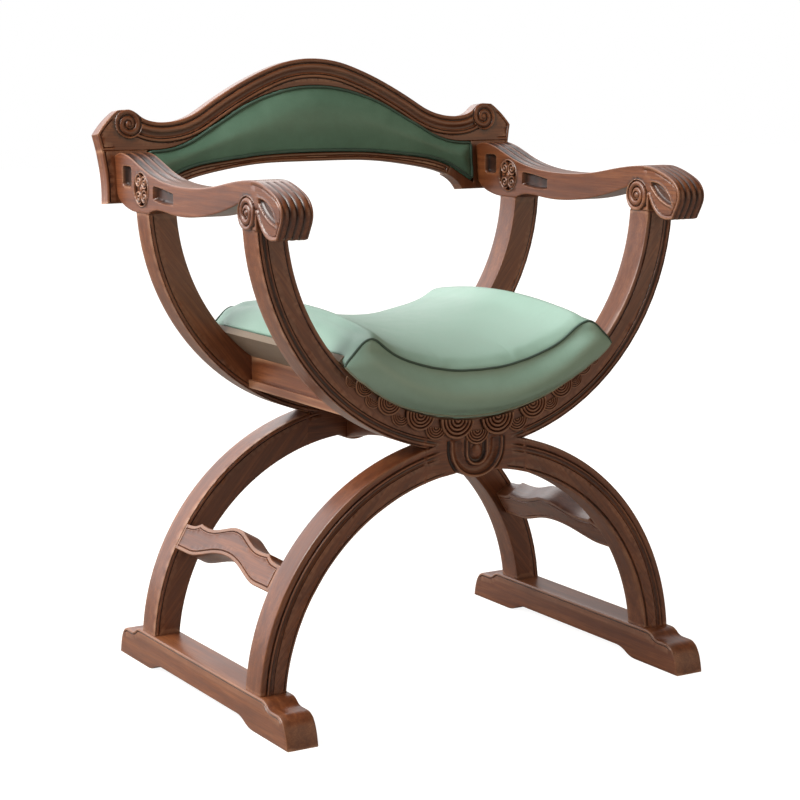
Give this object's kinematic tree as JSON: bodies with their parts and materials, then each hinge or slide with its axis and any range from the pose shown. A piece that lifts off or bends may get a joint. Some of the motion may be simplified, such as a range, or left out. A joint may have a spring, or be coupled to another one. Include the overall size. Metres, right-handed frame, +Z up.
{
  "type": "savonarola armchair",
  "caption": "Arc-framed armchair: U of posts on an inverted U of legs, scroll arms, sled runners, dished leather seat, raked back with ogee crest.",
  "frame": {"origin": "middle of the chair's bounding box, on the floor", "axes": "+Z up, -Y the front, +X to the right of someone facing the chair"},
  "size_m": [0.676, 0.5382, 0.8329],
  "materials": {
    "frame_wood": "oiled walnut",
    "dowel_wood": "bare beech",
    "plywood": "bare ply",
    "seat_leather": "satin pale green",
    "back_leather": "satin green"
  },
  "bodies": {
    "root": {"front_hub": "frame_wood", "rear_hub": "frame_wood", "front_left_post": "frame_wood", "front_right_post": "frame_wood", "rear_left_post": "frame_wood", "rear_right_post": "frame_wood", "front_left_leg": "frame_wood", "front_right_leg": "frame_wood", "rear_left_leg": "frame_wood", "rear_right_leg": "frame_wood", "left_runner": "frame_wood", "right_runner": "frame_wood", "left_stretcher": "frame_wood", "right_stretcher": "frame_wood", "left_seat_rail": "frame_wood", "right_seat_rail": "frame_wood", "centre_rail": "frame_wood", "left_armrest": "frame_wood", "right_armrest": "frame_wood", "crest_rail": "frame_wood", "back_lower_rail": "frame_wood", "left_back_stile": "frame_wood", "right_back_stile": "frame_wood", "back_panel": "plywood", "seat_panel": "plywood", "back_pad": "back_leather", "back_cover": "back_leather", "seat_cushion": "seat_leather", "front_hub_tenons": "dowel_wood", "rear_hub_tenons": "dowel_wood", "back_rail_dowels": "dowel_wood"}
  },
  "joints": []
}
